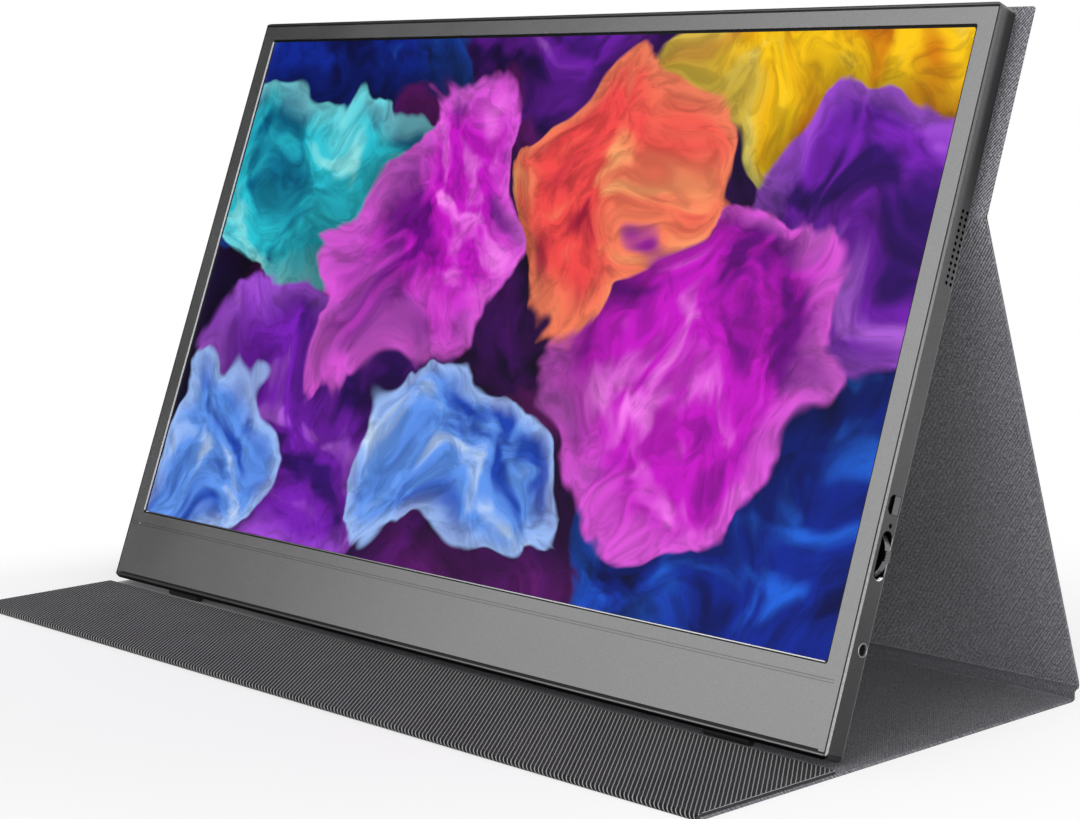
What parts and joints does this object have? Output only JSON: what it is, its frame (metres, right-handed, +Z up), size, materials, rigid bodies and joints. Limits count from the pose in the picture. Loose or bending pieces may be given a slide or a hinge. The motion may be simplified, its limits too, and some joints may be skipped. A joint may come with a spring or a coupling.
{
  "type": "portable monitor with cover",
  "caption": "Slim portable display held by magnets in a fabric folding cover that props it up as a stand, with side controls, sockets and speaker holes.",
  "frame": {"origin": "on the table, below the middle of the monitor's front bottom edge", "axes": "+X along the screen's width, to the side with the controls; +Y to the back; +Z up from the table"},
  "size_m": [0.3676, 0.1781, 0.219],
  "materials": {
    "shell_metal": "satin grey",
    "bezel_metal": "satin grey",
    "control_metal": "satin grey",
    "frame_plastic": "matte",
    "display_glass": "semi-gloss",
    "clear_acrylic": "clear",
    "lamp": "diffusing",
    "tray_metal": "bare",
    "circuit_board": "solder mask",
    "flex": "film",
    "black_plastic": "matte",
    "socket_metal": "plated",
    "mesh": "fine mesh",
    "lead_sheath": "matte",
    "steel": "plain",
    "foot_rubber": "matte",
    "cover_skin": "ribbed weave",
    "cover_board": "sheet",
    "cover_lining": "soft ribbed lining",
    "magnet": "plated"
  },
  "bodies": {
    "monitor": {"front_bezel": "bezel_metal", "rear_shell": "shell_metal", "inner_frame": "frame_plastic", "lcd_glass": "display_glass", "light_guide": "clear_acrylic", "led_bar": "lamp", "panel_tray": "tray_metal", "panel_driver_board": "circuit_board", "display_cable": "flex", "main_board": "circuit_board", "board_components": "black_plastic", "usb_c_sockets": "socket_metal", "mini_hdmi_socket": "socket_metal", "headphone_jack": "black_plastic", "control_board": "circuit_board", "control_flex": "flex", "power_switch": "black_plastic", "status_led": "lamp", "led_light_pipe": "clear_acrylic", "jog_switch": "black_plastic", "speaker_left": "black_plastic", "speaker_right": "black_plastic", "speaker_mesh_left": "mesh", "speaker_mesh_right": "mesh", "speaker_leads": "lead_sheath", "steel_plates": "steel", "case_screws": "steel", "rubber_feet": "foot_rubber"},
    "power_button": {"power_button": "control_metal"},
    "jog_carrier": {"jog_carrier": "black_plastic"},
    "jog_lever": {"jog_lever": "control_metal"},
    "upper_panel": {"upper_skin": "cover_skin", "upper_board": "cover_board", "upper_lining": "cover_lining", "upper_magnets": "magnet"},
    "leg": {"leg_skin": "cover_skin", "leg_board": "cover_board", "leg_lining": "cover_lining", "back_fold_fabric": "cover_skin"},
    "heel": {"heel_skin": "cover_skin", "heel_board": "cover_board", "heel_lining": "cover_lining", "leg_fold_fabric": "cover_skin"},
    "base": {"base_skin": "cover_skin", "base_board": "cover_board", "base_lining": "cover_lining", "heel_fold_fabric": "cover_skin", "front_fold_fabric": "cover_skin"},
    "flap": {"flap_skin": "cover_skin", "flap_board": "cover_board", "flap_lining": "cover_lining", "flap_magnets": "magnet"}
  },
  "joints": [
    {"name": "flap_fold", "type": "hinge", "parent": "base", "child": "flap", "pos_m": [0, -0.05646, 0.00108], "axis": [1, 0, 0], "range_deg": [0, 180], "deforming": ["front_fold_fabric"]},
    {"name": "heel_fold", "type": "hinge", "parent": "base", "child": "heel", "pos_m": [0, 0.11756, 0.00052], "axis": [-1, 0, 0], "range_deg": [0, 57.45], "deforming": ["heel_fold_fabric"]},
    {"name": "leg_fold", "type": "hinge", "parent": "heel", "child": "leg", "pos_m": [0, 0.12025, 0.00474], "axis": [-1, 0, 0], "range_deg": [0, 51.75], "deforming": ["leg_fold_fabric"]},
    {"name": "back_fold", "type": "hinge", "parent": "leg", "child": "upper_panel", "pos_m": [0, 0.06784, 0.15567], "axis": [1, 0, 0], "range_deg": [0, 39.55], "deforming": ["back_fold_fabric"]},
    {"name": "monitor_lift_off", "type": "slide", "parent": "upper_panel", "child": "monitor", "axis": [0, -0.9376, 0.3478], "range_m": [0, 0.1]},
    {"name": "power_press", "type": "slide", "parent": "monitor", "child": "power_button", "axis": [-1, 0, 0], "range_m": [0, 0.0004], "stiffness_N_per_m": 600, "springref_m": -0.0005},
    {"name": "jog_press", "type": "slide", "parent": "monitor", "child": "jog_carrier", "axis": [-1, 0, 0], "range_m": [0, 0.0004], "stiffness_N_per_m": 600, "springref_m": -0.0005},
    {"name": "jog_rock", "type": "hinge", "parent": "jog_carrier", "child": "jog_lever", "pos_m": [0.17485, 0.02601, 0.05951], "axis": [0, 0.9376, -0.3478], "range_deg": [-8, 8], "stiffness_Nm_per_rad": 0.02}
  ],
  "couplings": [
    {"joint": "heel_fold", "follows": "leg_fold", "ratio": 1.1092},
    {"joint": "back_fold", "follows": "leg_fold", "ratio": 0.76328}
  ]
}
